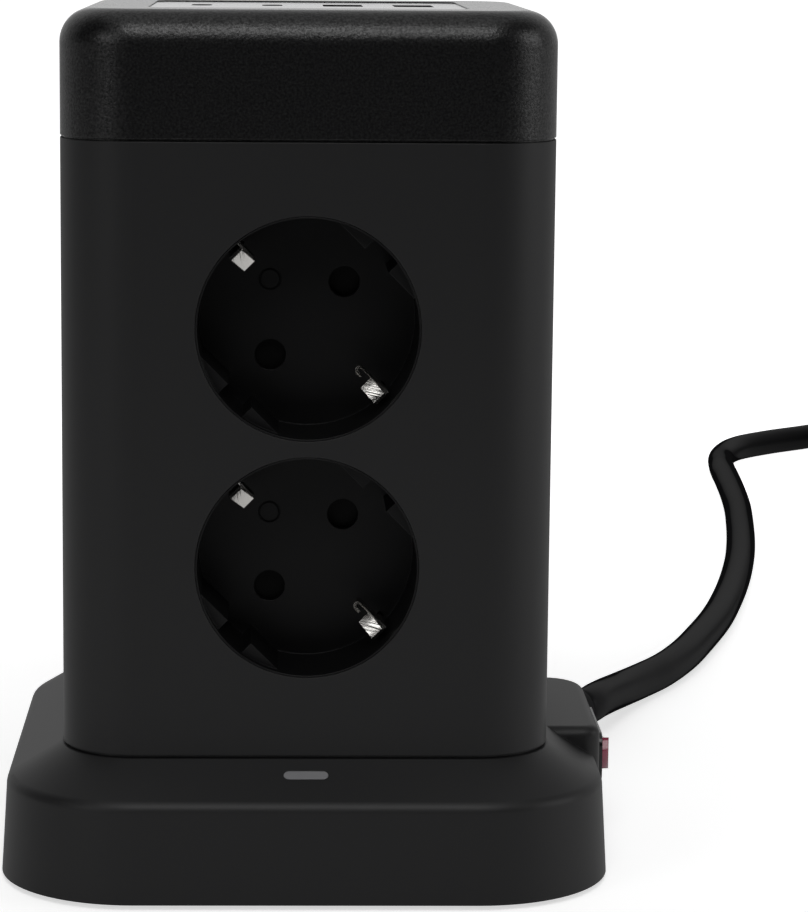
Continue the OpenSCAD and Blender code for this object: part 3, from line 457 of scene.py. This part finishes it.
class STRIP_OT_shells(Operator):
    """Finish the tower's and the base's shells"""
    bl_idname = "strip.shells"
    bl_label = "Shells"

    def execute(self, context):
        look = context.scene.strip_finish
        # Fire-resistant ABS from a smooth mould: even, satin, without visible grain.
        shell, tree, shader = plain_material("moulded_black_abs", look.shell_colour, look.shell_roughness,
                                             1.52, Specular_IOR_Level=0.4)
        grain(tree, shader, width=0.5 * MM, depth=0.006 * MM, strength=0.2, edge=0.3 * MM)
        dress(["base_shell", "body_shell", "base_plate"], shell)
        # ABS from a spark-eroded mould: small glints and dark pits, so the shine follows the grain.
        cap, tree, shader = plain_material("spark_eroded_black_abs", look.cap_colour, 0.34, 1.52)
        noise = grain(tree, shader, width=look.grain_size, depth=0.1 * MM, strength=0.6, edge=0.3 * MM)
        glints = add_node(tree, "ShaderNodeMapRange",
                          {"Value": noise.outputs["Fac"], "From Min": 0.35, "From Max": 0.7,
                           "To Min": 0.25, "To Max": 0.7})
        tree.links.new(glints.outputs["Result"], shader.inputs["Specular IOR Level"])
        grazing_shine(tree, shader, 0.34, 0.1)
        dress(["cap"], cap)
        # The port panel is a separate moulding with a finer grain, which mirrors the room when seen edge on.
        panel, tree, shader = plain_material("fine_grained_black_abs", look.cap_colour, 0.38, 1.52,
                                             Coat_Weight=1.0, Coat_Roughness=0.08)
        grain(tree, shader, width=0.4 * MM, depth=0.03 * MM, strength=0.4, edge=0.2 * MM)
        grazing_shine(tree, shader, 0.38, 0.1)
        dress(["usb_panel"], panel)
        # Soft synthetic rubber, fully matt.
        rubber, _, _ = plain_material("moulded_rubber", linear("#1c1c1c"), 0.85, 1.52)
        dress(["grip_pad"], rubber)
        return {"FINISHED"}


class STRIP_OT_sockets(Operator):
    """Finish the socket inserts and the shutters"""
    bl_idname = "strip.sockets"
    bl_label = "Sockets"

    def execute(self, context):
        look = context.scene.strip_finish
        # Heat-proof polycarbonate inserts: their own black, darkened beyond it as painted shade of the deep
        # recesses they line; a little glossier than the shell.
        insert, tree, shader = plain_material("black_polycarbonate", look.socket_colour_and_shade, 0.45, 1.58,
                                              Specular_IOR_Level=0.2)
        soft_edge(tree, shader, 0.3 * MM)
        dress([f"socket_cup_{i}" for i in range(1, 9)], insert)
        # Acetal shutters: waxy black, darkened to nearly black as painted shade of the deep pin holes they
        # close.
        shutter, tree, shader = plain_material("black_acetal", linear("#040404"), 0.5, 1.48,
                                               Specular_IOR_Level=0.12)
        soft_edge(tree, shader, 0.3 * MM)
        dress([f"shutter_{i}" for i in range(1, 9)], shutter)
        return {"FINISHED"}


class STRIP_OT_metal(Operator):
    """Finish the contacts, the screws and the ports' shells"""
    bl_idname = "strip.metal"
    bl_label = "Metal"

    def execute(self, context):
        # Nickel plated spring bronze, bent and drawn: bright, with a rolled tip and fine lines.
        nickel, tree, shader = plain_material("nickel_plated_bronze", linear("#dedcd8"), 0.2, Metallic=1.0)
        blade_relief(tree, shader, 0.2 * MM)
        dress([f"earth_clip_{i}" for i in range(1, 9)] + ["earth_rail", "plug_pins"], nickel)
        # Zinc plated steel screws.
        zinc, tree, shader = plain_material("zinc_plated_steel", linear("#b9bcc0"), 0.3, Metallic=1.0)
        soft_edge(tree, shader, 0.2 * MM)
        dress(["base_screws", "tower_screws"], zinc)
        # Stamped stainless shells of the ports.
        stainless, _, _ = plain_material("stamped_stainless_steel", linear("#9fa0a2"), 0.28, Metallic=1.0)
        dress([f"usb_port_{i}" for i in range(1, 5)], stainless)
        # Bare brass strip.
        brass, _, _ = plain_material("bare_brass_strip", linear("#c9a45c"), 0.3, Metallic=1.0)
        dress(["live_rail", "neutral_rail", "switch_tabs"], brass)
        return {"FINISHED"}


class STRIP_OT_switch(Operator):
    """Finish the rocker switch and the front lamp"""
    bl_idname = "strip.switch"
    bl_label = "Switch"

    def execute(self, context):
        look = context.scene.strip_finish
        # Polished black nylon frame.
        bezel, tree, shader = plain_material("glossy_black_nylon", linear("#101011"), 0.25, 1.53)
        soft_edge(tree, shader, 0.3 * MM)
        dress(["switch_bezel", "switch_body"], bezel)
        # Red polycarbonate with a polished face: deep red under sharp pale reflections.
        rocker, tree, shader = plain_material("clear_red_polycarbonate", look.rocker_colour, 0.08, 1.58,
                                              Coat_Weight=1.0)
        soft_edge(tree, shader, 1.0 * MM)
        dress(["rocker"], rocker)
        # The mould rounds the rocker's rim.
        round_rim(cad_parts["rocker"], 1.2 * MM)
        # Smoked diffuser over the lamp, unlit.
        window, tree, shader = plain_material("smoked_diffuser", linear("#828284"), 0.45, 1.5)
        soft_edge(tree, shader, 0.2 * MM)
        dress(["led_window"], window)
        return {"FINISHED"}


class STRIP_OT_inner(Operator):
    """Finish what is inside"""
    bl_idname = "strip.inner"
    bl_label = "Inner parts"

    def execute(self, context):
        # Unpainted glass-filled nylon.
        nylon, _, _ = plain_material("natural_nylon", linear("#dcd6c6"), 0.55, 1.53)
        dress(["core_frame", "cord_clamp"], nylon)
        # Green solder mask on glass laminate.
        mask, _, _ = plain_material("green_solder_mask", linear("#1f5c38"), 0.3, 1.5)
        dress(["led_board", "usb_board", "surge_board"], mask)
        # Blue epoxy dip coat.
        epoxy, _, _ = plain_material("blue_epoxy_coat", linear("#2b5fa8"), 0.35, 1.5)
        dress(["varistors"], epoxy)
        return {"FINISHED"}


# ---- the stage

def softbox(name, place, aim, size, power):
    """A square area light at place that faces aim."""
    data = bpy.data.lights.new(name, "AREA")
    data.shape = "SQUARE"
    data.size = size
    data.energy = power
    lamp = bpy.data.objects.new(name, data)
    direction = Vector(aim) - Vector(place)
    lamp.matrix_world = Matrix.Translation(place) @ direction.to_track_quat("-Z", "Y").to_matrix().to_4x4()
    bpy.context.scene.collection.objects.link(lamp)
    return lamp


class STRIP_OT_stage(Operator):
    """Make the floor, the room and the lights"""
    bl_idname = "strip.stage"
    bl_label = "Stage"

    def execute(self, context):
        scene = context.scene
        look = scene.strip_stage
        # Matt white paper; the camera sees it lifted to white where no shadow falls.
        paper, tree, shader = plain_material("white_paper", look.floor_colour, 0.9, 1.45, Specular_IOR_Level=0.1)
        rays = add_node(tree, "ShaderNodeLightPath")
        seen = calculate(tree, "MULTIPLY_ADD", rays.outputs["Is Glossy Ray"], MIRRORED_GLOW,
                         rays.outputs["Is Camera Ray"])
        place = add_node(tree, "ShaderNodeNewGeometry")
        away = add_node(tree, "ShaderNodeVectorMath", {0: place.outputs["Position"]}, operation="LENGTH")
        rise = add_node(tree, "ShaderNodeMapRange",
                        {"Value": away.outputs["Value"], "From Min": GLOW_REACH[0], "From Max": GLOW_REACH[1],
                         "To Min": GLOW[0], "To Max": GLOW[1]}, interpolation_type="SMOOTHSTEP")
        power = calculate(tree, "MULTIPLY", rise.outputs["Result"], seen)
        glow = add_node(tree, "ShaderNodeEmission", {"Color": (1.0, 1.0, 1.0, 1.0), "Strength": power})
        both = add_node(tree, "ShaderNodeAddShader", {0: shader.outputs[0], 1: glow.outputs[0]})
        tree.links.new(both.outputs[0], tree.nodes["Material Output"].inputs["Surface"])
        # The table ends in front of the strip and runs far behind it.
        corners = np.array([[-FLOOR_SIDE, FLOOR_FRONT, 0.0], [FLOOR_SIDE, FLOOR_FRONT, 0.0],
                            [FLOOR_SIDE, FLOOR_BACK, 0.0], [-FLOOR_SIDE, FLOOR_BACK, 0.0]])
        mesh_piece("floor", corners, [[0, 1, 2, 3]], paper, smooth=False)

        world = bpy.data.worlds.new("studio")
        scene.world = world
        world.use_nodes = True
        tree = world.node_tree
        back = tree.nodes["Background"]
        place = add_node(tree, "ShaderNodeTexCoord")
        split = add_node(tree, "ShaderNodeSeparateXYZ", {"Vector": place.outputs["Generated"]})
        # The white backdrop behind the strip lights it; the room in front of it is dark.
        depth = add_node(tree, "ShaderNodeMapRange",
                         {"Value": split.outputs["Y"], "From Min": 0.0, "From Max": BACKDROP_DEPTH,
                          "To Min": 0.0, "To Max": BACKDROP}, interpolation_type="SMOOTHSTEP")
        rays = add_node(tree, "ShaderNodeLightPath")
        seen = add_node(tree, "ShaderNodeMix",
                        {0: rays.outputs["Is Camera Ray"], 2: depth.outputs["Result"], 3: 1.0},
                        data_type="FLOAT")
        back.inputs["Color"].default_value = (1.0, 1.0, 1.0, 1.0)
        tree.links.new(seen.outputs[0], back.inputs["Strength"])

        for name, place, size, setting in LIGHTS:
            softbox(name, place, LIGHT_AIM, size, getattr(look, setting))
        scene.view_settings.view_transform = "Standard"
        return {"FINISHED"}


class STRIP_PT_pieces(Panel):
    """Buttons for each group of pieces"""
    bl_idname = "STRIP_PT_pieces"
    bl_label = "Tower strip"
    bl_space_type = "VIEW_3D"
    bl_region_type = "UI"
    bl_category = "Tower strip"

    def draw(self, context):
        for group in (context.scene.strip_finish, context.scene.strip_lead, context.scene.strip_stage):
            for key in group.bl_rna.properties.keys():
                if key not in {"rna_type", "name"}:
                    self.layout.prop(group, key)
        for step in STEPS:
            self.layout.operator(step.bl_idname)


STEPS = (STRIP_OT_camera, STRIP_OT_lead, STRIP_OT_shells, STRIP_OT_sockets, STRIP_OT_metal, STRIP_OT_switch,
         STRIP_OT_inner, STRIP_OT_stage)
CLASSES = (StripFinish, StripLead, StripStage, *STEPS, STRIP_PT_pieces)


def register():
    for kind in CLASSES:
        bpy.utils.register_class(kind)
    bpy.types.Scene.strip_finish = PointerProperty(type=StripFinish)
    bpy.types.Scene.strip_lead = PointerProperty(type=StripLead)
    bpy.types.Scene.strip_stage = PointerProperty(type=StripStage)


def unregister():
    del bpy.types.Scene.strip_stage
    del bpy.types.Scene.strip_lead
    del bpy.types.Scene.strip_finish
    for kind in reversed(CLASSES):
        bpy.utils.unregister_class(kind)


def main():
    register()
    bpy.ops.strip.camera()
    bpy.ops.strip.lead()
    bpy.ops.strip.shells()
    bpy.ops.strip.sockets()
    bpy.ops.strip.metal()
    bpy.ops.strip.switch()
    bpy.ops.strip.inner()
    bpy.ops.strip.stage()


if __name__ == "__main__":
    main()
